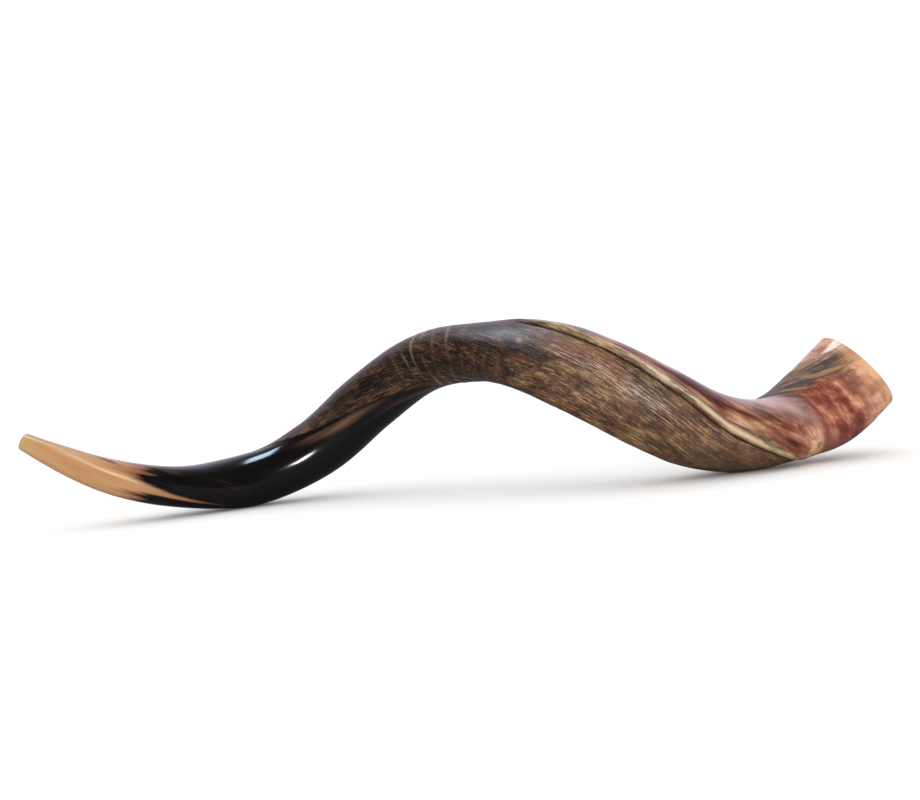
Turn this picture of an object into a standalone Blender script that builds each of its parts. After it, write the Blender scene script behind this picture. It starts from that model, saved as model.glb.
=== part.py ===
"""A shofar made from one long spiral kudu horn, bell to the right.

The horn is a single wall of horn round a single bore. It is modelled in its own wave frame, in
millimetres: X along the horn from the blowing end to the bell, Y across, Z up, with the crest of the
wave near X = 0. Its centreline is one turn of a corkscrew. The empty shofar_at_rest then tips the
whole horn on to its two low bends, with the origin under the middle of its box.

The wall is cut across into lengths, one for each change of finish or of build along the horn.
"""
import math
from collections import namedtuple

import bpy
import numpy as np
from mathutils import Euler, Vector

MM = 0.001

# The corkscrew: how far the centreline sways across, and where along X it crosses over.
SWAY_AT_TIP = 44.0
SWAY_AT_BELL = 58.0
HALF_TURN = 251.0
CREST_X = 15.0

# The section along the horn. Half breadth and half thickness are those of the oval section, and the
# keel is the long edge that winds round it: its angle runs from the top towards the -Y side.
Station = namedtuple("Station", "x height half_breadth half_thickness keel_deg")
STATIONS = [
    Station(-369, 0, 7.5, 9, -306),
    Station(-340, -13.5, 11, 11, -304),
    Station(-300, -29.5, 15.5, 14, -280),
    Station(-255, -39.5, 20.5, 17, -259),
    Station(-210, -40, 24.5, 20.5, -229),
    Station(-165, -30.5, 24, 24, -168),
    Station(-120, -5, 26.5, 24, -138),
    Station(-75, 35, 27.5, 24, -101),
    Station(-30, 66.5, 27.5, 24.5, -65),
    Station(20, 77, 32, 25.5, -22),
    Station(70, 72.5, 37, 27, 11),
    Station(120, 53, 37, 29, 27),
    Station(170, 28, 37.5, 30.5, 55),
    Station(215, 8.5, 37.5, 30.5, 84),
    Station(255, 3.5, 37.5, 30, 107),
    Station(290, 11.5, 39, 28.5, 145),
    Station(325, 28.5, 42, 32, 199),
    Station(362, 62, 42, 35, 240),
]
TIP_X = STATIONS[0].x
BELL_X = STATIONS[-1].x

# The keel stands proud of the oval as a rounded lip between the crest and the bell.
KEEL_HEIGHT = 4.0
KEEL_HALF_ANGLE = 0.16
KEEL_RISES = (-60, 100)
KEEL_FADES = (285, 345)

# The wall thins from a nearly solid tip to a thin bell. The bore is never narrower than the drill.
WALL_X = (-200, -150, -100, -50, 0, 100, 250, 362)
WALL = (19, 12, 8.5, 6.5, 5.2, 4.4, 4, 3.6)
DRILLED_RADIUS = 2.6

# The cup that the player blows into, and the eased edges of the two open ends.
CUP_RADIUS = 5.6
CUP_DEPTH = 9.0
CUP_STEPS = 5
RIM_EASE = 0.8

# The mesh: rings along the horn and points round it, closer together at the keel.
RING_STEP = 12.0
POINTS_ROUND = 32
KEEL_CROWDING = 0.35
GAP = 0.3

# How the horn lies when it is put down.
ROLL_AT_REST = math.radians(-4.0)
PITCH_AT_REST = math.radians(4.6)

Length = namedtuple("Length", "name end_x colour roughness")
LENGTHS = [
    Length("mouthpiece", -352, (0.62, 0.42, 0.20), 0.32),
    Length("pale_tip", -265, (0.72, 0.40, 0.16), 0.25),
    Length("dark_shank", -152, (0.020, 0.013, 0.010), 0.18),
    Length("rising_bend", -50, (0.045, 0.024, 0.014), 0.30),
    Length("rough_crest", 75, (0.120, 0.085, 0.048), 0.62),
    Length("rough_flank", 185, (0.110, 0.072, 0.040), 0.60),
    Length("lower_bend", 275, (0.230, 0.100, 0.055), 0.38),
    Length("polished_bell", BELL_X, (0.480, 0.205, 0.115), 0.24),
]


def through_stations(field, x):
    """A smooth curve through one column of STATIONS, as a Catmull-Rom spline in x."""
    knots = np.array([station.x for station in STATIONS], float)
    values = np.array([getattr(station, field) for station in STATIONS], float)
    span = np.diff(knots)
    rise = np.diff(values) / span
    slope = np.empty_like(values)
    slope[1:-1] = (rise[:-1] * span[1:] + rise[1:] * span[:-1]) / (span[:-1] + span[1:])
    slope[0] = 1.5 * rise[0] - 0.5 * slope[1]
    slope[-1] = 1.5 * rise[-1] - 0.5 * slope[-2]
    i = int(np.clip(np.searchsorted(knots, x) - 1, 0, len(span) - 1))
    t = (x - knots[i]) / span[i]
    ends = (2 * t**3 - 3 * t**2 + 1) * values[i] + (3 * t**2 - 2 * t**3) * values[i + 1]
    slopes = (t**3 - 2 * t**2 + t) * slope[i] + (t**3 - t**2) * slope[i + 1]
    return ends + slopes * span[i]


def turn_at(x):
    """The corkscrew's angle, 0 at the crest of the wave."""
    return math.pi * (x - CREST_X) / HALF_TURN


def centre_at(x):
    """A point on the centreline."""
    along = (x - TIP_X) / (BELL_X - TIP_X)
    sway = SWAY_AT_TIP + (SWAY_AT_BELL - SWAY_AT_TIP) * along
    return np.array([x, -sway * math.sin(turn_at(x)), through_stations("height", x)])


def axes_at(x):
    """The centreline's direction, and the section's side (-Y) and up axes."""
    step = 0.05
    forward = centre_at(x + step) - centre_at(x - step)
    forward /= np.linalg.norm(forward)
    side = np.cross(forward, (0, 0, 1))
    side /= np.linalg.norm(side)
    return forward, side, np.cross(side, forward)


def ramp(value, limits):
    """0 below the first limit, 1 above the second."""
    low, high = limits
    return min(max((value - low) / (high - low), 0.0), 1.0)


def angles_at(x):
    """Angles round the section, from the keel and from the top."""
    even = np.linspace(0, 2 * math.pi, POINTS_ROUND, endpoint=False)
    from_keel = even - KEEL_CROWDING * np.sin(even)
    return from_keel, from_keel + math.radians(through_stations("keel_deg", x))


def oval_at(x):
    """The oval section's radius at each point round it, without the keel's lip."""
    from_thin_side = angles_at(x)[1] - turn_at(x)
    across = np.cos(from_thin_side) / through_stations("half_thickness", x)
    along = np.sin(from_thin_side) / through_stations("half_breadth", x)
    return 1 / np.hypot(across, along)


def outside_at(x):
    """The outer surface's radii: the oval with the keel's lip on it."""
    nearest = (angles_at(x)[0] + math.pi) % (2 * math.pi) - math.pi
    height = KEEL_HEIGHT * ramp(x, KEEL_RISES) * (1 - ramp(x, KEEL_FADES))
    return oval_at(x) + height * np.exp(-((nearest / KEEL_HALF_ANGLE) ** 2))


def bore_at(x):
    """The bore's radii."""
    return np.maximum(oval_at(x) - np.interp(x, WALL_X, WALL), DRILLED_RADIUS)


def ring(x, radii):
    """One ring of points round the centreline, in the section's plane."""
    _, side, up = axes_at(x)
    angle = angles_at(x)[1][:, None]
    spokes = np.cos(angle) * up + np.sin(angle) * side
    return centre_at(x) + np.broadcast_to(radii, POINTS_ROUND)[:, None] * spokes


def walk(x, distance):
    """The x that lies a short distance along the centreline from x."""
    return x + distance * axes_at(x)[0][0]


def stops(start, end, step):
    """Evenly spaced x from start to end, about a step apart."""
    count = max(1, round(np.linalg.norm(centre_at(end) - centre_at(start)) / step))
    return np.linspace(start, end, count + 1)


def closed_wall(rings):
    """Points and faces of a closed wall whose rings follow each other round it."""
    points = np.concatenate(rings)
    count = len(rings)
    faces = []
    for r in range(count):
        here = r * POINTS_ROUND
        there = (r + 1) % count * POINTS_ROUND
        for i in range(POINTS_ROUND):
            j = (i + 1) % POINTS_ROUND
            faces.append((here + i, here + j, there + j, there + i))
    return points, faces


def plain_length(start, end):
    """A length of the horn with square-cut ends: outer rings out, bore rings back."""
    outer = [ring(x, outside_at(x)) for x in stops(start, end, RING_STEP)]
    inner = [ring(x, bore_at(x)) for x in stops(end, start, 2 * RING_STEP)]
    return outer + inner


def mouthpiece_length(start, end):
    """The blowing end: an eased outer edge, a flat rim, the cup and the drilled bore."""
    outer = [ring(x, outside_at(x)) for x in stops(end, walk(start, RIM_EASE), RING_STEP / 2)]
    rim = [ring(start, outside_at(start) - RIM_EASE), ring(start, CUP_RADIUS + RIM_EASE / 2)]
    cup = []
    for depth in np.linspace(RIM_EASE / 2, CUP_DEPTH, CUP_STEPS):
        bowl = math.sqrt(1 - (depth / CUP_DEPTH) ** 2)
        radius = DRILLED_RADIUS + (CUP_RADIUS - DRILLED_RADIUS) * bowl
        cup.append(ring(walk(start, depth), radius))
    rings = outer + rim + cup + [ring(end, bore_at(end))]
    return rings[::-1]


def bell_length(start, end):
    """The bell: an eased outer edge, a flat rim and the open bore."""
    eased = walk(end, -RIM_EASE)
    outer = [ring(x, outside_at(x)) for x in stops(start, eased, RING_STEP)]
    rim = [ring(end, outside_at(end) - RIM_EASE), ring(end, bore_at(end) + RIM_EASE / 2)]
    inner = [ring(x, bore_at(x)) for x in stops(walk(end, -RIM_EASE / 2), start, 2 * RING_STEP)]
    return outer + rim + inner


def finish(length):
    """The length's material, from its colour and its gloss."""
    material = bpy.data.materials.new(length.name)
    material.use_nodes = True
    shader = material.node_tree.nodes["Principled BSDF"]
    shader.inputs["Base Color"].default_value = (*length.colour, 1)
    shader.inputs["Roughness"].default_value = length.roughness
    shader.inputs["Metallic"].default_value = 0
    return material


def add_length(length, rings, collection, parent):
    """One object, with its origin in the middle of its wall."""
    points, faces = closed_wall(rings)
    middle = (points.min(axis=0) + points.max(axis=0)) / 2
    mesh = bpy.data.meshes.new(length.name)
    mesh.from_pydata(((points - middle) * MM).tolist(), [], faces)
    mesh.materials.append(finish(length))
    mesh.shade_smooth()
    piece = bpy.data.objects.new(length.name, mesh)
    piece.location = Vector(middle * MM)
    piece.parent = parent
    collection.objects.link(piece)
    return points


def main():
    for old in list(bpy.data.objects):
        bpy.data.objects.remove(old)
    collection = bpy.data.collections.new("shofar")
    bpy.context.scene.collection.children.link(collection)
    at_rest = bpy.data.objects.new("shofar_at_rest", None)
    collection.objects.link(at_rest)

    makers = {"mouthpiece": mouthpiece_length, "polished_bell": bell_length}
    points = []
    start = TIP_X
    for length in LENGTHS:
        first = start if start == TIP_X else walk(start, GAP / 2)
        last = length.end_x if length.end_x == BELL_X else walk(length.end_x, -GAP / 2)
        rings = makers.get(length.name, plain_length)(first, last)
        points.append(add_length(length, rings, collection, at_rest))
        start = length.end_x

    tipped = Euler((ROLL_AT_REST, PITCH_AT_REST, 0))
    placed = np.concatenate(points) @ np.array(tipped.to_matrix()).T
    low = placed.min(axis=0)
    high = placed.max(axis=0)
    at_rest.rotation_euler = tipped
    at_rest.location = Vector((-(low[0] + high[0]) / 2, -(low[1] + high[1]) / 2, -low[2])) * MM
    bpy.context.view_layer.update()


main()
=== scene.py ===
import math

import bpy
import numpy as np
from mathutils import Euler, Matrix, Vector


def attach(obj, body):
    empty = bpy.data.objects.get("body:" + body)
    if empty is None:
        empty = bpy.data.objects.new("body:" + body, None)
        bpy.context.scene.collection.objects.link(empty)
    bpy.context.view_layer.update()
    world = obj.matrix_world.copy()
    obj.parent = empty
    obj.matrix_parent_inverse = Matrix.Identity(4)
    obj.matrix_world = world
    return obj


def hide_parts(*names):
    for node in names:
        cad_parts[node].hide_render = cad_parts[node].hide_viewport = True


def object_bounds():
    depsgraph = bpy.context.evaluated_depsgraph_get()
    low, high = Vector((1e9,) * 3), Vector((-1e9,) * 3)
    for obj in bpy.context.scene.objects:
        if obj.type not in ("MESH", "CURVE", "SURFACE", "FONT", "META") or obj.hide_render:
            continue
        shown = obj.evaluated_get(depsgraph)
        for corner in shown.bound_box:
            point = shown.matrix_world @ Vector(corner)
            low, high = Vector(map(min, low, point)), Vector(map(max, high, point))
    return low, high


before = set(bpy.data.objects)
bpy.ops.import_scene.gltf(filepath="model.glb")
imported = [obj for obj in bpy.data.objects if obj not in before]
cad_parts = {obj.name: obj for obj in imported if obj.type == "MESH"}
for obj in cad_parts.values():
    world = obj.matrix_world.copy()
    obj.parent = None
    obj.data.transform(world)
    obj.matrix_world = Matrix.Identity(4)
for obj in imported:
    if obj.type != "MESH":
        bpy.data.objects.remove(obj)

cad_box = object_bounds()

# ---------------------------------------------------------------------------------------------
# The mouthpiece: the blowing end of one long kudu horn. The solid tip is cut square across,
# drilled, and opened to a small cup with an eased edge for the lips. It is yellowish horn, sanded
# and polished.

# The whole horn follows one turn of a corkscrew, its section is a slowly turning oval, and a keel
# winds round it. Sizes are in millimetres in the horn's wave frame: X along, Y across, Z up.
SWAY_AT_TIP, SWAY_AT_BELL = 44.0, 58.0
HALF_TURN, CREST_X = 251.0, 15.0

# Each row: x, height, half breadth and half thickness, then in degrees the keel's angle and, from
# the keel, where the natural skin starts and ends.
STATIONS = np.array([
    (-369, 0, 7.5, 9, -306, 0, 150),
    (-340, -13.5, 11, 11, -304, 0, 150),
    (-300, -29.5, 15.5, 14, -280, 0, 150),
    (-255, -39.5, 20.5, 17, -259, 0, 150),
    (-210, -40, 24.5, 20.5, -229, 155, 155),
    (-165, -30.5, 24, 24, -168, 148, 167),
    (-120, -5, 26.5, 24, -138, 84, 187),
    (-75, 35, 27.5, 24, -101, 22, 201),
    (-30, 66.5, 27.5, 24.5, -65, -4, 213),
    (20, 77, 32, 25.5, -22, -10, 220),
    (70, 72.5, 37, 27, 11, -10, 211),
    (120, 53, 37, 29, 27, -9, 202),
    (170, 28, 37.5, 30.5, 55, -8, 193),
    (215, 8.5, 37.5, 30.5, 84, -8, 190),
    (255, 3.5, 37.5, 30, 107, -8, 214),
    (290, 11.5, 39, 28.5, 145, 24, 222),
    (325, 28.5, 42, 32, 199, 122, 201),
    (362, 62, 42, 35, 240, 152, 184),
], float)
HEIGHT, BREADTH, THICKNESS, KEEL, SKIN_STARTS, SKIN_ENDS = 1, 2, 3, 4, 5, 6
TIP_X, BELL_X = STATIONS[0, 0], STATIONS[-1, 0]

# The wall's thickness at some x, and the drill that opens the solid tip.
WALL_X = (-200, -150, -100, -50, 0, 100, 250, 362)
WALL = (19, 12, 8.5, 6.5, 5.2, 4.4, 4, 3.6)
DRILLED_RADIUS = 2.6

# The mesh: rings along the horn, points round each, and how much closer they stand at the keel.
RINGS, AROUND, KEEL_CROWDING = 730, 256, 0.25


def through(column, x):
    """A smooth curve through one column of STATIONS, as a Catmull-Rom spline in x."""
    knots, values = STATIONS[:, 0], STATIONS[:, column]
    span = np.diff(knots)
    rise = np.diff(values) / span
    slope = np.empty_like(values)
    slope[1:-1] = (rise[:-1] * span[1:] + rise[1:] * span[:-1]) / (span[:-1] + span[1:])
    slope[0] = 1.5 * rise[0] - 0.5 * slope[1]
    slope[-1] = 1.5 * rise[-1] - 0.5 * slope[-2]
    i = np.clip(np.searchsorted(knots, x) - 1, 0, len(span) - 1)
    t = (x - knots[i]) / span[i]
    ends = (2 * t**3 - 3 * t**2 + 1) * values[i] + (3 * t**2 - 2 * t**3) * values[i + 1]
    slopes = (t**3 - 2 * t**2 + t) * slope[i] + (t**3 - t**2) * slope[i + 1]
    return ends + slopes * span[i]


def turn_at(x):
    """The corkscrew's angle, 0 at the crest of the wave."""
    return math.pi * (x - CREST_X) / HALF_TURN


def centre_at(x):
    """Points on the centreline."""
    along = (x - TIP_X) / (BELL_X - TIP_X)
    sway = SWAY_AT_TIP + (SWAY_AT_BELL - SWAY_AT_TIP) * along
    return np.stack([x, -sway * np.sin(turn_at(x)), through(HEIGHT, x)], axis=-1)


def unit(vectors):
    return vectors / np.linalg.norm(vectors, axis=-1, keepdims=True)


def axes_at(x):
    """The centreline's direction, and the section's side (-Y) and up axes."""
    forward = unit(centre_at(x + 0.05) - centre_at(x - 0.05))
    side = unit(np.cross(forward, (0, 0, 1)))
    return forward, side, np.cross(side, forward)


def from_keel():
    """Angles of the points round the section, from the keel, closer at the skin's two edges."""
    even = np.linspace(0, 2 * math.pi, AROUND, endpoint=False)
    return even - KEEL_CROWDING * np.sin(2 * even)


def oval_at(x):
    """The oval section's radii at each point round it, one row for each x."""
    angle = from_keel()[None] + np.radians(through(KEEL, x))[:, None]
    from_thin_side = angle - turn_at(x)[:, None]
    across = np.cos(from_thin_side) / through(THICKNESS, x)[:, None]
    along = np.sin(from_thin_side) / through(BREADTH, x)[:, None]
    return 1 / np.hypot(across, along)


def bore_at(x):
    """The bore's radii: the oval less the wall, never narrower than the drill."""
    return np.maximum(oval_at(x) - np.interp(x, WALL_X, WALL)[:, None], DRILLED_RADIUS)


def rings_at(x, radii):
    """Rings of points, one row for each x, in the sections' planes."""
    _, side, up = axes_at(x)
    angle = (from_keel()[None] + np.radians(through(KEEL, x))[:, None])[..., None]
    spokes = np.cos(angle) * up[:, None] + np.sin(angle) * side[:, None]
    return centre_at(x)[:, None] + radii[..., None] * spokes


def ring_stations():
    """The x of each ring, evenly spaced along the centreline, with a spare one past each end."""
    fine = np.linspace(TIP_X, BELL_X, 4001)
    steps = np.linalg.norm(np.diff(centre_at(fine), axis=0), axis=1)
    run = np.concatenate([[0], np.cumsum(steps)])
    x = np.interp(np.linspace(0, run[-1], RINGS + 1), run, fine)
    spare = np.concatenate([[2 * x[0] - x[1]], x, [2 * x[-1] - x[-2]]])
    return spare, run[-1] / RINGS


ring_x, RING_STEP = ring_stations()

# The horn lies on its two low bends, rolled and pitched a little, where the frame has it.
ROLL, PITCH = math.radians(-4.0), math.radians(4.6)
tipped = np.array(Euler((ROLL, PITCH, 0)).to_matrix())
laid = rings_at(ring_x, oval_at(ring_x)) @ tipped.T / 1000
laid_low, laid_high = laid.min(axis=(0, 1)), laid.max(axis=(0, 1))
cad_low, cad_high = np.array(cad_box[0]), np.array(cad_box[1])
rest_place = (cad_low + cad_high - laid_low - laid_high) / 2
rest_place[2] = cad_low[2] - laid_low[2]


def laid_down(points):
    """From the wave frame in millimetres to the part's frame in metres."""
    return points @ tipped.T / 1000 + rest_place


def grid_normals(points):
    """Outward normals of rings of points, from their neighbours."""
    along = np.gradient(points, axis=0)
    around = np.roll(points, -1, axis=1) - np.roll(points, 1, axis=1)
    return unit(np.cross(around, along))


class Wire:
    """A node socket that takes part in sums. An operator adds its Math or Vector Math node."""

    def __init__(self, tree, socket, vector=False):
        self.tree, self.socket, self.vector = tree, socket, vector

    def node(self, kind, settings=None, sockets=None, output=0, vector=False):
        return add_node(self.tree, kind, settings, sockets, output, vector)

    def maths(self, operation, first, second=None):
        if self.vector:
            second = (second,) * 3 if isinstance(second, (int, float)) else second
            kind = "ShaderNodeVectorMath"
        else:
            kind = "ShaderNodeMath"
        sockets = {0: first} if second is None else {0: first, 1: second}
        return self.node(kind, {"operation": operation}, sockets, 0, self.vector)

    def __add__(self, other):
        return self.maths("ADD", self, other)

    def __radd__(self, other):
        return self.maths("ADD", other, self)

    def __sub__(self, other):
        return self.maths("SUBTRACT", self, other)

    def __rsub__(self, other):
        return self.maths("SUBTRACT", other, self)

    def __mul__(self, other):
        return self.maths("MULTIPLY", self, other)

    def __rmul__(self, other):
        return self.maths("MULTIPLY", other, self)

    def __truediv__(self, other):
        return self.maths("DIVIDE", self, other)

    def parts(self):
        """The three values of a vector."""
        split = self.node("ShaderNodeSeparateXYZ", None, {0: self})
        return [Wire(self.tree, socket) for socket in split.socket.node.outputs]

    def bell(self, width):
        """1 where the value is 0, falling to nothing over a few widths."""
        scaled = self / width
        return self.node("ShaderNodeMath", {"operation": "EXPONENT"}, {0: scaled * scaled * -1})

    def step(self, low, high):
        """0 below low, 1 above high, smooth between."""
        return self.node("ShaderNodeMapRange", {"interpolation_type": "SMOOTHSTEP"},
                         {0: self, 1: low, 2: high, 3: 0.0, 4: 1.0})

    def noise(self, stretch, detail=2.0, rough=0.5, seed=0.0):
        """Cloudy noise from 0 to 1 on a vector, with its own scale along each axis, per mm."""
        placed = self * stretch + (seed, 1.7 * seed, 0.6 * seed)
        return self.node("ShaderNodeTexNoise", {"noise_dimensions": "3D"},
                         {"Vector": placed, "Scale": 1.0, "Detail": detail, "Roughness": rough})


def add_node(tree, kind, settings=None, sockets=None, output=0, vector=False):
    """Adds a node: its settings first, then the values or the links of its sockets."""
    node = tree.nodes.new(kind)
    for name, value in (settings or {}).items():
        if name == "stops":
            set_stops(node.color_ramp, value)
        else:
            setattr(node, name, value)
    for name, value in (sockets or {}).items():
        if isinstance(value, Wire):
            tree.links.new(value.socket, node.inputs[name])
        else:
            node.inputs[name].default_value = value
    return None if output is None else Wire(tree, node.outputs[output], vector)


def set_stops(color_ramp, stops):
    """Gives a colour ramp its stops."""
    while len(color_ramp.elements) < len(stops):
        color_ramp.elements.new(1.0)
    for element, (place, colour) in zip(color_ramp.elements, stops):
        element.position = place
        element.color = (*colour, 1)


# A horn grows as fibres that follow the keel, in rings laid one behind the other. The maker leaves
# that natural skin on one side and grinds the other side smooth.
SURFACE = {"Lip Height": 3.4, "Lip Width": 3.9, "Groove Depth": 1.1, "Skin Depth": 0.35,
           "Ring Spacing": 13.0, "Ring Height": 0.35, "Fibre Depth": 0.5, "Ripple Height": 0.9,
           "Tip Ridge Height": 0.9, "Back Fullness": 2.3, "Seed": 3.0}


def surface_tree():
    """The tree that raises the keel's lip, growth rings, fibres and ripples out of the oval."""
    tree = bpy.data.node_groups.new("horn_surface", "GeometryNodeTree")
    interface = tree.interface
    interface.new_socket("Geometry", in_out="INPUT", socket_type="NodeSocketGeometry")
    for name in SURFACE:
        interface.new_socket(name, in_out="INPUT", socket_type="NodeSocketFloat")
    interface.new_socket("Material", in_out="INPUT", socket_type="NodeSocketMaterial")
    interface.new_socket("Geometry", in_out="OUTPUT", socket_type="NodeSocketGeometry")
    inputs = tree.nodes.new("NodeGroupInput")

    def given(name):
        return Wire(tree, inputs.outputs[name])

    def carried(name, kind="FLOAT"):
        return add_node(tree, "GeometryNodeInputNamedAttribute", {"data_type": kind},
                        {"Name": name}, 0, kind == "FLOAT_VECTOR")

    along, station, across = carried("along"), carried("station"), carried("across")
    grain, out = carried("grain", "FLOAT_VECTOR"), carried("out", "FLOAT_VECTOR")
    seed = given("Seed")
    seeded = grain + add_node(tree, "ShaderNodeCombineXYZ", sockets={0: seed}, vector=True)

    wander = seeded.noise((0.02, 0.05, 0.05), 2.0) - 0.5
    ragged = seeded.noise((0.035, 0.24, 0.24), 3.0, seed=33.0) - 0.5
    on_the_bell = station.step(275, 315)
    off_the_keel = station.step(250, 290) * (across * across).step(150, 900)
    frayed = on_the_bell.maths("MAXIMUM", on_the_bell, off_the_keel)
    edge = carried("edge") + wander * (frayed * 30 + 3) + ragged * frayed * 48
    natural = edge.step(-0.8, 0.8 + frayed * 4) * (1 - station.step(348, 362) * 0.75)

    lip_here = station.step(28, 84) * (1 - station.step(268, 312))
    lip_here = lip_here * (1 + (station - 100).bell(40) * 0.5)
    lip = (across / given("Lip Width")).bell(1.0) * lip_here
    groove_here = station.step(42, 62) * (1 - station.step(255, 290))
    groove = (across - 4.8 + wander * 0.8).bell(0.6) * groove_here
    ridge_here = station.step(-352, -325) * (1 - station.step(-235, -160))
    ridge = across.bell(2.6) * ridge_here

    drift = seeded.noise((0.02, 0.012, 0.012), 2.0, seed=9.0)
    turns = along / given("Ring Spacing") + drift * 3.0
    wave = turns.node("ShaderNodeMath", {"operation": "SINE"}, {0: turns * (2 * math.pi)})
    swell = (wave + 1) * 0.5
    narrow = swell.maths("POWER", swell, 12.0)
    patchy = seeded.noise((0.012, 0.03, 0.03), 2.0, seed=21.0).step(0.42, 0.66)
    from_the_top = across + station * 0.42
    on_the_crest = station.step(-55, -25) * (1 - station.step(5, 30))
    on_the_crest = on_the_crest * (1 - from_the_top.step(48, 74))
    faint = seeded.noise((0.09, 0.05, 0.05), 2.0, seed=27.0).step(0.38, 0.62)
    ring = narrow * (patchy * 0.15 + on_the_crest * faint * 0.85) * natural
    fibre = (seeded.noise((0.028, 0.45, 0.45), 3.0, 0.6, seed=4.0) - 0.5) * natural
    ripple = seeded.noise((0.03, 0.03, 0.03), 1.5, seed=13.0) - 0.5
    ripple_here = station.step(-365, -345) * (natural * 1.3 + 0.5)
    fuller_back = (station - 245).bell(36) * (across + 58).bell(24)

    height = lip * given("Lip Height") - groove * given("Groove Depth")
    height = height + natural * given("Skin Depth") + ring * given("Ring Height")
    height = height + fibre * given("Fibre Depth") + ripple * ripple_here * given("Ripple Height")
    height = height + ridge * given("Tip Ridge Height") + fuller_back * given("Back Fullness")

    geometry = Wire(tree, inputs.outputs["Geometry"])
    masks = {"natural": natural, "lip": lip, "groove": groove, "ring": ring, "ridge": ridge}
    for name, mask in masks.items():
        geometry = add_node(tree, "GeometryNodeStoreNamedAttribute",
                            {"data_type": "FLOAT", "domain": "POINT"},
                            {"Geometry": geometry, "Name": name, "Value": mask})
    push = out.node("ShaderNodeVectorMath", {"operation": "SCALE"}, {0: out, "Scale": height},
                    vector=True)
    geometry = add_node(tree, "GeometryNodeSetPosition", None,
                        {"Geometry": geometry, "Offset": push})
    geometry = add_node(tree, "GeometryNodeRealizeInstances", None, {"Geometry": geometry})
    geometry = add_node(tree, "GeometryNodeSetMaterial", None,
                        {"Geometry": geometry, "Material": given("Material")})
    output = tree.nodes.new("NodeGroupOutput")
    tree.links.new(geometry.socket, output.inputs["Geometry"])
    return tree


horn_surface = surface_tree()

# Behind the shank the natural skin starts as a wedge: at this x, and wider by so much for each mm.
WEDGE_X, WEDGE_WIDENS = -172, 0.3


def into_natural(x, radii):
    """How far each point lies inside the edges of the natural skin, in mm, negative outside."""
    starts = np.radians(through(SKIN_STARTS, x))[:, None]
    ends = np.radians(through(SKIN_ENDS, x))[:, None]
    turned = np.mod(from_keel()[None] - starts, 2 * math.pi)
    width = ends - starts
    inside = np.minimum(turned, width - turned)
    outside = np.minimum(turned - width, 2 * math.pi - turned)
    edge = np.where(turned < width, inside, -outside) * radii
    return np.minimum(edge, (x[:, None] - WEDGE_X) * WEDGE_WIDENS)


def plain_skin(name, x, first):
    """The oval skin over the rings at x, with what the surface tree and the finishes read."""
    radii = oval_at(x)
    points = rings_at(x, radii)
    count = len(x)
    angle = from_keel()[None]
    signed = np.where(angle > math.pi, angle - 2 * math.pi, angle)
    along = (first - 1 + np.arange(count))[:, None] * RING_STEP + np.zeros_like(radii)
    grain = np.stack([along, radii * np.cos(angle), radii * np.sin(angle)], axis=-1)
    floats = {"along": along, "station": x[:, None] + np.zeros_like(radii),
              "across": signed * radii, "edge": into_natural(x, radii)}
    vectors = {"grain": grain, "out": grid_normals(points)}
    mesh = quad_mesh(name, points.reshape(-1, 3), ring_faces(count, closed=False))
    carry(mesh, floats, vectors)
    return mesh


def ring_faces(count, closed):
    """Quads between each ring and the next, and from the last to the first if closed."""
    last = count if closed else count - 1
    r = np.arange(last)[:, None]
    i = np.arange(AROUND)[None]
    j = (i + 1) % AROUND
    here, there = r * AROUND, (r + 1) % count * AROUND
    return np.stack([here + i, here + j, there + j, there + i], axis=-1).reshape(-1, 4)


def quad_mesh(name, points, faces):
    """A mesh of quads from arrays."""
    mesh = bpy.data.meshes.new(name)
    mesh.vertices.add(len(points))
    mesh.vertices.foreach_set("co", points.ravel())
    mesh.loops.add(faces.size)
    mesh.loops.foreach_set("vertex_index", faces.ravel())
    mesh.polygons.add(len(faces))
    mesh.polygons.foreach_set("loop_start", np.arange(0, faces.size, 4))
    mesh.update(calc_edges=True)
    mesh.shade_smooth()
    return mesh


def carry(mesh, floats, vectors):
    """Stores values on the mesh's points."""
    for name, values in floats.items():
        layer = mesh.attributes.new(name, "FLOAT", "POINT")
        layer.data.foreach_set("value", np.ascontiguousarray(values, np.float32).ravel())
    for name, values in vectors.items():
        layer = mesh.attributes.new(name, "FLOAT_VECTOR", "POINT")
        layer.data.foreach_set("vector", np.ascontiguousarray(values, np.float32).ravel())


# What the finishes read from the skin, beside its grain.
CARRIED = ("station", "across", "edge", "natural", "lip", "groove", "ring", "ridge")


def grown_skin(name, first, last, material):
    """The skin from ring first to ring last, its surface raised: points, normals, values."""
    x = ring_x[first - 1:last + 2]
    piece = bpy.data.objects.new(name, plain_skin(name, x, first))
    bpy.context.scene.collection.objects.link(piece)
    modifier = piece.modifiers.new("surface", "NODES")
    modifier.node_group = horn_surface
    chosen = SURFACE | {"Material": material}
    for item in horn_surface.interface.items_tree:
        if item.in_out == "INPUT" and item.name in chosen:
            modifier[item.identifier] = chosen[item.name]
    evaluated = piece.evaluated_get(bpy.context.evaluated_depsgraph_get())
    mesh = bpy.data.meshes.new_from_object(evaluated)
    points = np.empty(len(mesh.vertices) * 3)
    mesh.vertices.foreach_get("co", points)
    points = points.reshape(len(x), AROUND, 3)
    values = {}
    for key in CARRIED:
        layer = np.empty(len(mesh.vertices), np.float32)
        mesh.attributes[key].data.foreach_get("value", layer)
        values[key] = layer.reshape(len(x), AROUND)[1:-1]
    grain = np.empty(len(mesh.vertices) * 3, np.float32)
    mesh.attributes["grain"].data.foreach_get("vector", grain)
    values["grain"] = grain.reshape(len(x), AROUND, 3)[1:-1]
    bpy.data.objects.remove(piece)
    bpy.data.meshes.remove(mesh)
    return points[1:-1], grid_normals(points)[1:-1], values


def end_wall(outer, inner, facing):
    """The flat end between two rings."""
    points = np.stack([outer, inner])
    return points, np.broadcast_to(facing, points.shape)


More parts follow.
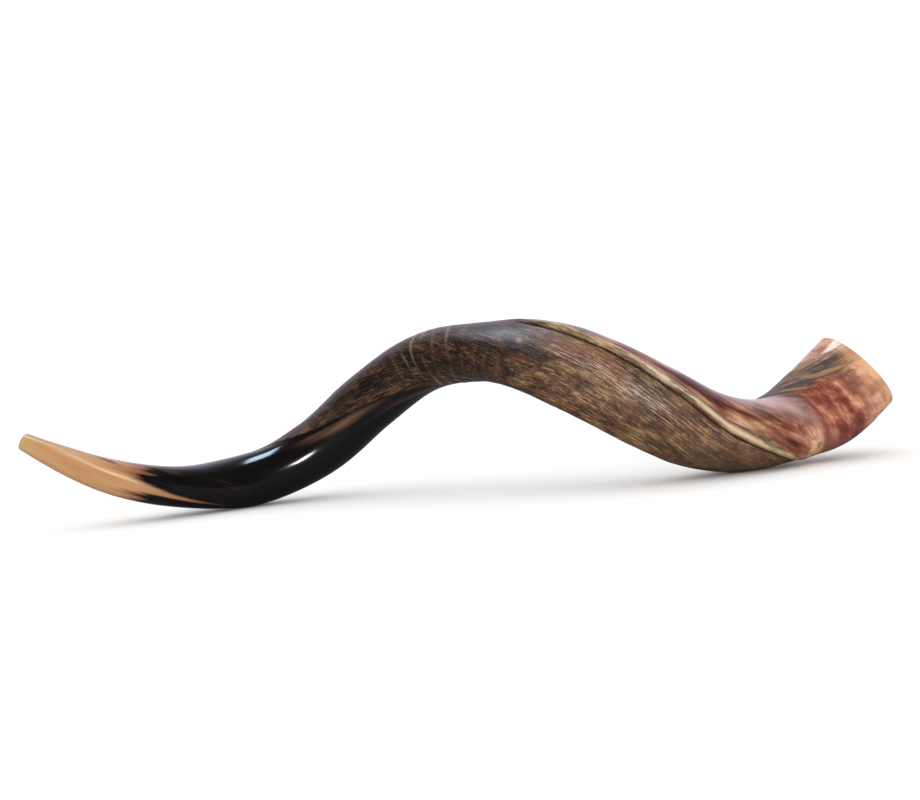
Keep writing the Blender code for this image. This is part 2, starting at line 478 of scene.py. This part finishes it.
def closed_wall(name, blocks, values, materials, finishes):
    """One closed mesh: each block starts on the ring where the last one ended."""
    rings = np.concatenate([points[:-1] for points, _ in blocks])
    faces = ring_faces(len(rings), closed=True)
    normals = []
    indices = []
    for (points, directions), index in zip(blocks, finishes):
        a, b = directions[:-1], directions[1:]
        corners = np.stack([a, np.roll(a, -1, axis=1), np.roll(b, -1, axis=1), b], axis=2)
        normals.append(corners.reshape(-1, 3))
        indices.append(np.full((len(points) - 1) * AROUND, index))
    mesh = quad_mesh(name, laid_down(rings.reshape(-1, 3)), faces)
    for material in materials:
        mesh.materials.append(material)
    mesh.polygons.foreach_set("material_index", np.concatenate(indices).astype(np.int32))
    spare = len(rings) - len(values["grain"])
    floats = {}
    for key, layer in values.items():
        if key != "grain":
            floats[key] = np.concatenate([layer, np.repeat(layer[-1:], spare, axis=0)])
    grain = np.concatenate([values["grain"], np.repeat(values["grain"][-1:], spare, axis=0)])
    carry(mesh, floats, {"grain": grain})
    mesh.normals_split_custom_set(np.concatenate(normals) @ tipped.T)
    piece = bpy.data.objects.new(name, mesh)
    bpy.context.scene.collection.objects.link(piece)
    return piece


def nearest_ring(x):
    """The ring that stands closest to a cut."""
    return int(np.argmin(np.abs(ring_x - x)))


def settle(piece, node):
    """The piece stands for its CAD node."""
    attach(piece, "root")
    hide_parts(node)


def linear(red, green, blue):
    """A colour given as it looks, 0 to 255, as the shader wants it."""
    return tuple(((c / 255 + 0.055) / 1.055) ** 2.4 if c > 10 else c / 255 / 12.92
                 for c in (red, green, blue))


class Finish:
    """What a layer of horn looks like: its colour, its roughness and its fine relief in mm."""

    def __init__(self, colour, roughness, relief):
        self.colour, self.roughness, self.relief = colour, roughness, relief

    def under(self, mask, other):
        """This finish, with another over it where the mask is 1."""
        colour = blended(mask, self.colour, other.colour)
        roughness = self.roughness + mask * (other.roughness - self.roughness)
        relief = self.relief + mask * (other.relief - self.relief)
        return Finish(colour, roughness, relief)


def blended(mask, first, second):
    """A mix of two colours, each a wire or a plain colour."""
    first, second = (c if isinstance(c, Wire) else (*c, 1) for c in (first, second))
    return mask.node("ShaderNodeMix", {"data_type": "RGBA"}, {0: mask, 6: first, 7: second}, 2)


def graded(value, stops):
    """A colour ramp."""
    return value.node("ShaderNodeValToRGB", {"stops": stops}, {0: value})


def attribute(tree, name, vector=False):
    """A value that the skin carries."""
    return add_node(tree, "ShaderNodeAttribute", {"attribute_name": name}, None,
                    1 if vector else 2, vector)


class Where:
    """The values that every layer of horn reads."""

    def __init__(self, tree):
        self.grain = attribute(tree, "grain", vector=True)
        for name in CARRIED:
            setattr(self, name, attribute(tree, name))
        self.along = self.grain.parts()[0]

    def spot(self, centre, radius):
        """1 at a point of the grain, falling to nothing round it."""
        away = self.grain.node("ShaderNodeVectorMath", {"operation": "DISTANCE"},
                               {0: self.grain, 1: centre}, 1)
        return away.bell(radius)


HORN_IOR = 1.55


def horn_finish(name, layers):
    """A material from layers of horn, the first at the bottom."""
    material = bpy.data.materials.new(name)
    material.use_nodes = True
    tree = material.node_tree
    tree.nodes.clear()
    where = Where(tree)
    finish = layers[0](where, None)
    for layer in layers[1:]:
        finish = layer(where, finish)
    one_mm = 0.001
    bump = add_node(tree, "ShaderNodeBump", None, {"Height": finish.relief, "Distance": one_mm})
    shader = add_node(tree, "ShaderNodeBsdfPrincipled", None, {
        "Base Color": finish.colour, "Roughness": finish.roughness, "IOR": HORN_IOR,
        "Normal": bump})
    output = tree.nodes.new("ShaderNodeOutputMaterial")
    tree.links.new(shader.socket, output.inputs["Surface"])
    return material


def pale_horn(where, _):
    """Apricot horn with cream streaks, yellower at the cut end."""
    streaks = where.grain.noise((0.010, 0.13, 0.13), 3.0, 0.55, seed=2.0)
    body = graded(streaks, [(0.30, linear(172, 122, 80)), (0.46, linear(180, 134, 91)),
                            (0.60, linear(185, 143, 104)), (0.75, linear(194, 161, 131))])
    # Pinker grey towards the upper side: a painted sheen of the light from above.
    upper_side_painted_sheen = 1 - where.across.step(-13, -5)
    body = blended(upper_side_painted_sheen * 0.6, body, linear(178, 136, 120))
    end = 1 - where.station.step(-371, -348)
    colour = blended(end * 0.7, body, linear(176, 156, 98))
    # Lighter along the low ridge: a painted highlight.
    ridge_painted_highlight = where.ridge.step(0.5, 1.0)
    colour = blended(ridge_painted_highlight * 0.3, colour, linear(220, 194, 166))
    worn = where.along.step(95, 160)
    colour = blended(worn * 0.75, colour, linear(128, 88, 56))
    return Finish(colour, 0.2 + streaks * 0.08, streaks * 0.02)


MOUTHPIECE_ENDS_X = -352
CUP_RADIUS, CUP_DEPTH, CUP_EDGE, RIM_EASE = 5.4, 9.0, 0.5, 1.5


def mouthpiece():
    """The cut end with its cup, closed by a flat wall round the bore."""
    first, last = nearest_ring(TIP_X), nearest_ring(MOUTHPIECE_ENDS_X)
    skin = horn_finish("cut_tip_horn", [pale_horn])
    outside, outward, values = grown_skin("mouthpiece", first, last, skin)
    forward = axes_at(ring_x[[first, last]])[0]
    centre = centre_at(ring_x[first])
    spokes = unit(outside[0] - centre)
    radii = np.linalg.norm(outside[0] - centre, axis=1)

    rim = []
    for angle in np.linspace(0, math.pi / 2, 9)[1:]:
        rim.append((RIM_EASE * (1 - math.sin(angle)), radii - RIM_EASE * (1 - math.cos(angle))))
    for angle in np.linspace(0, math.pi / 2, 6):
        rim.append((CUP_EDGE * (1 - math.cos(angle)),
                    CUP_RADIUS + CUP_EDGE * (1 - math.sin(angle))))
    for depth in np.linspace(CUP_EDGE, CUP_DEPTH, 24)[1:]:
        bowl = math.sqrt(1 - (depth / CUP_DEPTH) ** 2)
        rim.append((depth, DRILLED_RADIUS + (CUP_RADIUS - DRILLED_RADIUS) * bowl))
    rings = [centre + forward[0] * depth + spokes * np.reshape(radius, (-1, 1))
             for depth, radius in rim]
    bore_x = ring_x[[last]]
    throat = rings_at(bore_x, bore_at(bore_x))[0]
    cup = np.stack([outside[1]] + rings + [throat])[::-1]
    cup_normals = grid_normals(cup)
    cup_normals[-1] = outward[1]
    blocks = [
        (outside[1:], outward[1:]),
        end_wall(outside[-1], throat, forward[1]),
        (cup, cup_normals),
    ]
    values = {key: layer[1:] for key, layer in values.items()}
    piece = closed_wall("mouthpiece", blocks, values, [skin], (0, 0, 0))
    settle(piece, "mouthpiece")


mouthpiece()

# ---------------------------------------------------------------------------------------------
# The pale tip. Apricot and cream horn, still solid but for the drilled bore, polished, with a low
# ridge where the keel dies out and dark licks that reach into it where the black begins.

PALE_TIP_ENDS_X = -265


def black_horn(where, finish):
    """Black horn over the pale, its edge drawn out in licks."""
    licks = where.grain.noise((0.012, 0.22, 0.22), 2.5, 0.5, seed=6.0)
    tongue = (where.across - 4.0).bell(2.9)
    ahead = (where.across + 5.5).bell(2.4)
    reach = (where.along - 106 - tongue * 62 + ahead * 12) / 15 + (licks - 0.5) * 4.5
    thin_lick = (where.across + 11).bell(0.9) * where.along.step(60, 70)
    thin_lick = thin_lick * (1 - where.along.step(76, 86))
    dark = thin_lick.maths("MAXIMUM", thin_lick * 0.8, reach.step(-0.4, 0.7))
    browned = thin_lick.maths("MAXIMUM", thin_lick, reach.step(-2.0, 0.1))
    streaks = where.grain.noise((0.006, 0.20, 0.20), 2.0, 0.5, seed=14.0)
    # A band of brown streaks in the black: partly the horn's own brown, partly a painted highlight.
    brown_streaks_and_highlight = streaks.step(0.47, 0.72) * (where.across + 17).bell(5.0)
    brown_streaks_and_highlight = brown_streaks_and_highlight * where.along.step(118, 138) * (1 - where.along.step(172, 205))
    black = blended(brown_streaks_and_highlight * 0.75, linear(10, 8, 8), linear(98, 60, 38))
    finish = finish.under(browned * 0.8, Finish(linear(104, 62, 36), 0.18, 0.0))
    return finish.under(dark, Finish(black, 0.14, streaks * 0.02))


def bore_rings(first, last):
    """The bore's rings from last back to first, with normals that face the bore."""
    x = ring_x[first - 1:last + 2]
    points = rings_at(x, bore_at(x))
    inward = -grid_normals(points)
    return points[1:-1][::-1], inward[1:-1][::-1]


def bore_finish():
    """The inside of the horn: raw and matt, cloudy brown, with a fine grain."""
    found = bpy.data.materials.get("horn_bore")
    if found:
        return found
    material = bpy.data.materials.new("horn_bore")
    material.use_nodes = True
    tree = material.node_tree
    tree.nodes.clear()
    place = add_node(tree, "ShaderNodeTexCoord", None, None, 3, True)
    clouds = place.noise((60.0, 60.0, 60.0), 4.0, 0.6)
    fine = place.noise((900.0, 900.0, 900.0), 3.0, 0.6)
    colour = graded(clouds, [(0.3, linear(96, 66, 46)), (0.5, linear(150, 112, 82)),
                             (0.7, linear(188, 152, 118))])
    bump = add_node(tree, "ShaderNodeBump", None, {"Height": fine + clouds * 2, "Distance": 0.0004})
    shader = add_node(tree, "ShaderNodeBsdfPrincipled", None, {
        "Base Color": colour, "Roughness": 0.62, "IOR": HORN_IOR, "Normal": bump})
    output = tree.nodes.new("ShaderNodeOutputMaterial")
    tree.links.new(shader.socket, output.inputs["Surface"])
    return material


def horn_length(name, start_x, end_x, slot, layers):
    """A length of the horn between two cuts across it, riding as its CAD node does."""
    first, last = nearest_ring(start_x), nearest_ring(end_x)
    skin = horn_finish(slot, layers)
    outside, outward, values = grown_skin(name, first, last, skin)
    inside, inward = bore_rings(first, last)
    forward, _, _ = axes_at(ring_x[[first, last]])
    blocks = [
        (outside, outward),
        end_wall(outside[-1], inside[0], forward[1]),
        (inside, inward),
        end_wall(inside[-1], outside[0], -forward[0]),
    ]
    piece = closed_wall(name, blocks, values, [skin, bore_finish()], (0, 0, 1, 1))
    settle(piece, name)


horn_length("pale_tip", MOUTHPIECE_ENDS_X, PALE_TIP_ENDS_X, "pale_polished_horn",
            [pale_horn, black_horn])

# ---------------------------------------------------------------------------------------------
# The dark shank and the rising bend. Black horn, polished like glass, that browns towards the bend,
# where the natural skin begins along a low step on the upper side.

SHANK_ENDS_X, RISE_ENDS_X = -152, -50


def brown_horn(where, finish):
    """Dark brown horn beside the step, and all round past the bend."""
    streaks = where.grain.noise((0.010, 0.20, 0.20), 3.0, 0.55, seed=31.0)
    beside_the_step = (where.edge + 8.5).bell(5.2) * where.station.step(-160, -95)
    beside_the_step = beside_the_step * streaks.step(0.26, 0.62) * 0.85
    whole = where.station.step(-48, 30)
    here = whole.maths("MAXIMUM", whole, beside_the_step)
    colour = graded(streaks, [(0.36, linear(26, 18, 15)), (0.46, linear(52, 36, 28)),
                              (0.56, linear(80, 57, 44)), (0.70, linear(112, 84, 66))])
    return finish.under(here, Finish(colour, 0.18, streaks * 0.02))


def natural_skin(where, finish):
    """The skin left as it grew: dark fibres on the crest, olive-brown and tan behind it."""
    fibres = where.grain.noise((0.065, 1.0, 1.0), 4.0, 0.68, seed=3.0)
    flecks = where.grain.noise((0.24, 1.3, 1.3), 3.0, 0.65, seed=5.0)
    mottle = where.grain.noise((0.070, 0.10, 0.10), 3.0, 0.6, seed=8.0)
    patches = where.grain.noise((0.018, 0.035, 0.035), 2.0, 0.5, seed=12.0)
    tone = fibres * 0.44 + flecks * 0.28 + mottle * 0.16 + patches * 0.12
    dark = graded(tone, [(0.42, linear(6, 3, 1)), (0.47, linear(17, 10, 4)),
                         (0.52, linear(42, 27, 13)), (0.58, linear(112, 75, 36))])
    light = graded(tone, [(0.41, linear(26, 14, 8)), (0.47, linear(66, 40, 24)),
                          (0.52, linear(104, 72, 46)), (0.59, linear(176, 138, 94))])
    colour = blended(where.station.step(30, 108), dark, light)
    warmth = where.grain.noise((0.028, 0.085, 0.085), 3.0, 0.6, seed=37.0)
    tinted = 0.3 + where.station.step(20, 100) * 0.7
    colour = blended(warmth.step(0.48, 0.66) * tinted * 0.38, colour, linear(112, 60, 34))
    colour = blended((1 - warmth.step(0.34, 0.50)) * tinted * 0.26, colour, linear(130, 106, 64))
    olive = where.station.step(150, 230) * (1 - where.station.step(255, 285))
    colour = blended(olive * 0.3, colour, linear(98, 80, 58))
    rust = (where.across - 15).bell(9) * where.along.step(515, 545)
    rust = rust * (1 - where.along.step(590, 660)) * patches.step(0.38, 0.56)
    colour = blended(rust * 0.45, colour, linear(128, 72, 44))
    dark_band = (where.along - 511 + (mottle - 0.5) * 26).bell(4.5)
    dark_band = dark_band * where.across.step(30, 44) * (1 - where.across.step(78, 92))
    colour = blended(dark_band * 0.65, colour, linear(24, 16, 12))
    # Paler along the growth rings: a painted sheen on their ridges.
    colour = blended(where.ring * 0.6, colour, linear(156, 132, 110))
    # A worn, smoother strip on the flank: its lower roughness is real, and its fibres painted pale
    # are a painted sheen of the light overhead.
    burnished_with_painted_sheen = (where.across - 22).bell(7) * where.along.step(515, 560)
    burnished_with_painted_sheen = burnished_with_painted_sheen * (1 - where.along.step(622, 655)) * fibres.step(0.48, 0.62)
    colour = blended(burnished_with_painted_sheen * 0.42, colour, linear(206, 194, 192))
    # Dark lines in the bell's natural band, without any relief: painted shade in creases.
    crease_painted_shade = where.grain.noise((0.016, 0.24, 0.24), 2.0, 0.5, seed=23.0).step(0.47, 0.60)
    on_the_bell = where.station.step(275, 305)
    tan = where.grain.noise((0.03, 0.12, 0.12), 2.0, 0.5, seed=29.0).step(0.42, 0.60)
    colour = blended(tan * on_the_bell * 0.65, colour, linear(164, 118, 80))
    colour = blended(crease_painted_shade * on_the_bell * 0.7, colour, linear(58, 34, 24))
    colour = blended(where.spot((516, 16, 23), 2.6) * 0.6, colour, linear(176, 150, 138))
    colour = blended(where.spot((534, 19, 21), 1.6) * 0.7, colour, linear(132, 46, 26))
    coarse = where.station.step(40, 110)
    roughness = 0.25 + fibres * 0.22 + coarse * 0.13 - burnished_with_painted_sheen * 0.2
    skin = Finish(colour, roughness, (fibres * 0.4 + flecks * 0.25) * (0.5 + coarse * 0.5))
    return finish.under(where.natural, skin)


SHANK_LAYERS = [pale_horn, black_horn, brown_horn, natural_skin]
horn_length("dark_shank", PALE_TIP_ENDS_X, SHANK_ENDS_X, "black_polished_horn", SHANK_LAYERS)
horn_length("rising_bend", SHANK_ENDS_X, RISE_ENDS_X, "dark_brown_horn", SHANK_LAYERS)

# ---------------------------------------------------------------------------------------------
# The rough middle. Natural olive-brown horn, only brushed, with the keel's lip and the crack-like
# groove beside it. Behind the lip the horn is ground and polished, and shows red-brown.

CREST_ENDS_X, FLANK_ENDS_X = 75, 185


def keel_lip(where, finish):
    """The lip along the keel, creamy at its edge with a painted highlight along it, and the dark
    groove.
    """
    fibres = where.grain.noise((0.05, 1.3, 1.3), 4.0, 0.65, seed=41.0)
    mottle = where.grain.noise((0.045, 0.10, 0.10), 3.0, 0.6, seed=44.0)
    tone = fibres * 0.6 + mottle * 0.4
    colour = graded(tone, [(0.40, linear(62, 42, 28)), (0.47, linear(106, 80, 55)),
                           (0.53, linear(138, 109, 79)), (0.61, linear(188, 158, 122))])
    # Creamy along the lip's crest: partly the horn's own cream, partly a painted highlight.
    creamy = where.station.step(95, 165) * (1 - where.station.step(240, 278))
    creamy = (where.across - 0.4).bell(1.8) * (0.28 + creamy * 0.66) * tone.step(0.40, 0.50)
    colour = blended(creamy, colour, linear(214, 190, 158))
    over = (where.lip + (mottle - 0.5) * 0.9).step(0.35, 0.85)
    finish = finish.under(over * 0.85, Finish(colour, 0.24 + fibres * 0.12, fibres * 0.3))
    return finish.under(where.groove.step(0.2, 0.8) * 0.9, Finish(linear(20, 13, 10), 0.6, 0.0))


def red_horn(where, finish):
    """The ground horn behind the lip, red-brown."""
    here = where.station.step(40, 110)
    clouds = where.grain.noise((0.024, 0.11, 0.11), 3.0, 0.55, seed=51.0)
    colour = graded(clouds, [(0.36, linear(62, 26, 19)), (0.46, linear(108, 60, 43)),
                             (0.55, linear(144, 97, 74)), (0.68, linear(186, 146, 116))])
    return finish.under(here, Finish(colour, 0.18, clouds * 0.03))


MIDDLE_LAYERS = [pale_horn, black_horn, brown_horn, red_horn, natural_skin, keel_lip]
horn_length("rough_crest", RISE_ENDS_X, CREST_ENDS_X, "rough_horn", MIDDLE_LAYERS)
horn_length("rough_flank", CREST_ENDS_X, FLANK_ENDS_X, "rough_horn_with_polished_back",
            MIDDLE_LAYERS)

# ---------------------------------------------------------------------------------------------
# The lower bend and the bell. The wall thins and reddens: pink, red and cream marbled horn with
# soft bands that run parallel to the rim, polished, cut square and eased at the mouth.

BEND_ENDS_X, MOUTH_EASE = 275, 1.1


def marbled_horn(where, finish):
    """Pink, red and cream horn, banded across the grain."""
    bands = where.grain.noise((0.095, 0.026, 0.026), 3.0, 0.6, seed=61.0)
    clouds = where.grain.noise((0.038, 0.052, 0.052), 4.0, 0.55, seed=66.0)
    here = (where.station + (clouds - 0.5) * 70).step(262, 304)
    tone = bands * 0.5 + clouds * 0.5
    colour = graded(tone, [(0.38, linear(74, 28, 26)), (0.45, linear(116, 56, 46)),
                           (0.51, linear(144, 84, 66)), (0.57, linear(178, 124, 96)),
                           (0.66, linear(208, 170, 134))])
    blots = where.grain.noise((0.080, 0.065, 0.065), 2.0, 0.6, seed=71.0).step(0.56, 0.64)
    colour = blended(blots * 0.5, colour, linear(92, 36, 32))
    # Pale pink on the saddle: partly the horn's own pale colour, partly a painted sheen of the
    # bright backdrop.
    blush_and_painted_sheen = (1 - where.across.step(-46, -28)) * where.station.step(222, 262)
    blush_and_painted_sheen = blush_and_painted_sheen * (1 - where.station.step(284, 306))
    colour = blended(blush_and_painted_sheen * 0.55, colour, linear(190, 160, 156))
    creamy = where.station.step(326, 364) * (0.38 + tone.step(0.42, 0.56) * 0.42)
    colour = blended(creamy, colour, linear(224, 172, 136))
    # Darker and duller on the lower front of the bend and bell: painted shade.
    painted_shade_low = (where.across + 32).bell(13) * where.station.step(288, 306)
    painted_shade_low = painted_shade_low * (1 - where.station.step(336, 352))
    colour = blended(painted_shade_low * 0.95, colour, linear(122, 72, 60))
    golden = where.station.step(354, 361)
    colour = blended(golden * 0.35, colour, linear(208, 166, 118))
    here = here.maths("MAXIMUM", here, blush_and_painted_sheen)
    return finish.under(here, Finish(colour, 0.2, clouds * 0.03))


BELL_LAYERS = [pale_horn, black_horn, brown_horn, red_horn, marbled_horn, natural_skin, keel_lip]


def polished_bell():
    """The flared end, from the last cut to the eased rim and back along the bore."""
    first, last = nearest_ring(BEND_ENDS_X), nearest_ring(BELL_X)
    skin = horn_finish("marbled_polished_horn", BELL_LAYERS)
    outside, outward, values = grown_skin("polished_bell", first, last, skin)
    inside, inward = bore_rings(first, last)
    forward = axes_at(ring_x[[first, last]])[0]
    centre = centre_at(ring_x[last])
    spokes = unit(outside[-1] - centre)
    outer = np.linalg.norm(outside[-1] - centre, axis=1)
    inner = np.linalg.norm(inside[0] - centre, axis=1)

    rim = []
    for angle in np.linspace(0, math.pi / 2, 7)[1:]:
        rim.append((MOUTH_EASE * (math.sin(angle) - 1),
                    outer - MOUTH_EASE * (1 - math.cos(angle))))
    for angle in np.linspace(0, math.pi / 2, 6)[:-1]:
        rim.append((MOUTH_EASE / 2 * (math.cos(angle) - 1),
                    inner + MOUTH_EASE / 2 * (1 - math.sin(angle))))
    rings = [centre + forward[1] * depth + spokes * radius[:, None] for depth, radius in rim]
    mouth = np.stack([outside[-2]] + rings + [inside[1]])
    mouth_normals = grid_normals(mouth)
    mouth_normals[0], mouth_normals[-1] = outward[-2], inward[1]
    blocks = [
        (outside[:-1], outward[:-1]),
        (mouth, mouth_normals),
        (inside[1:], inward[1:]),
        end_wall(inside[-1], outside[0], -forward[0]),
    ]
    values = {key: layer[:-1] for key, layer in values.items()}
    piece = closed_wall("polished_bell", blocks, values, [skin, bore_finish()], (0, 0, 1, 1))
    settle(piece, "polished_bell")


horn_length("lower_bend", FLANK_ENDS_X, BEND_ENDS_X, "red_brown_polished_horn", BELL_LAYERS)
polished_bell()

# ---------------------------------------------------------------------------------------------
# The studio: a pale paper floor, even daylight all round, a cloth of light overhead that shows as
# the window on the black shank, a small warm lamp in front, and the camera, square to the wave.

FLOOR_REACH = 40.0
PAPER, PAPER_IN_GLOSS = (0.93, 0.93, 0.93, 1), (0.16, 0.16, 0.18, 1)

floor_mesh = bpy.data.meshes.new("studio_floor")
floor_mesh.from_pydata([(-FLOOR_REACH, -FLOOR_REACH, 0), (FLOOR_REACH, -FLOOR_REACH, 0),
                        (FLOOR_REACH, FLOOR_REACH, 0), (-FLOOR_REACH, FLOOR_REACH, 0)],
                       [], [(0, 1, 2, 3)])
floor = bpy.data.objects.new("studio_floor", floor_mesh)
bpy.context.scene.collection.objects.link(floor)
paper = bpy.data.materials.new("studio_paper")
paper.use_nodes = True
sheet = paper.node_tree
sheet.nodes.clear()
in_gloss = add_node(sheet, "ShaderNodeLightPath", output=3)
white = add_node(sheet, "ShaderNodeBsdfDiffuse", None, {"Color": PAPER})
grey = add_node(sheet, "ShaderNodeBsdfDiffuse", None, {"Color": PAPER_IN_GLOSS})
mixed = add_node(sheet, "ShaderNodeMixShader", None, {0: in_gloss, 1: white, 2: grey})
add_node(sheet, "ShaderNodeOutputMaterial", None, {"Surface": mixed}, None)
floor_mesh.materials.append(paper)

# Even daylight for the surfaces. What the polish mirrors is a dark room, paler behind the horn.
DAYLIGHT, ROOM_IN_GLOSS, ROOM_TINT = 1.16, 0.05, (0.90, 0.86, 1.0)

world = bpy.data.worlds.new("studio")
bpy.context.scene.world = world
world.use_nodes = True
sky = world.node_tree
sky.nodes.clear()
in_gloss = add_node(sky, "ShaderNodeLightPath", output=3)
_, toward_back, toward_top = add_node(sky, "ShaderNodeTexCoord", vector=True).parts()
room = ROOM_IN_GLOSS + toward_back.step(-0.1, 0.7) * (1 - toward_top.step(0.55, 0.95) * 0.8)
strength = DAYLIGHT + in_gloss * (room - DAYLIGHT)
tint = blended(in_gloss, (1.0, 1.0, 1.0), ROOM_TINT)
backdrop = add_node(sky, "ShaderNodeBackground", None, {"Color": tint, "Strength": strength})
add_node(sky, "ShaderNodeOutputWorld", None, {"Surface": backdrop}, None)


def soft_light(name, place, aim, size, power, colour):
    """A square cloth of light."""
    lamp = bpy.data.lights.new(name, "AREA")
    lamp.shape = "RECTANGLE"
    lamp.size, lamp.size_y = size
    lamp.energy = power
    lamp.color = colour
    light = bpy.data.objects.new(name, lamp)
    light.location = place
    light.rotation_euler = (Vector(aim) - Vector(place)).to_track_quat("-Z", "Y").to_euler()
    bpy.context.scene.collection.objects.link(light)
    return light


overhead = soft_light("overhead", (-0.25, 0.22, 1.45), (-0.1, 0, 0.06), (0.36, 0.50), 8.5,
                      (0.62, 0.80, 1.0))
overhead.visible_diffuse = False
soft_light("lamp", (0.44, -1.63, 0.26), (0, 0, 0.06), (0.22, 0.18), 8, (1.0, 0.94, 0.84))

# The camera looks along the wave frame's Y axis at a point close to the middle of the horn.
FRAME_WIDTH, CAMERA_DISTANCE = 0.805, 1.8
AIM_X, AIM_Z = 4.4, 35.0
camera = bpy.data.cameras.new("camera")
camera.sensor_width = 36.0
camera.lens = camera.sensor_width * CAMERA_DISTANCE / FRAME_WIDTH
camera.clip_end = 100
eye = bpy.data.objects.new("camera", camera)
facing = Matrix(((1, 0, 0), (0, 0, -1), (0, 1, 0)))
eye.matrix_world = Matrix.LocRotScale(
    Vector(laid_down(np.array([AIM_X, -1000 * CAMERA_DISTANCE, AIM_Z]))),
    (Matrix(tipped.tolist()) @ facing).to_quaternion(), None)
bpy.context.scene.collection.objects.link(eye)
bpy.context.scene.camera = eye
bpy.context.scene.view_settings.view_transform = "Standard"
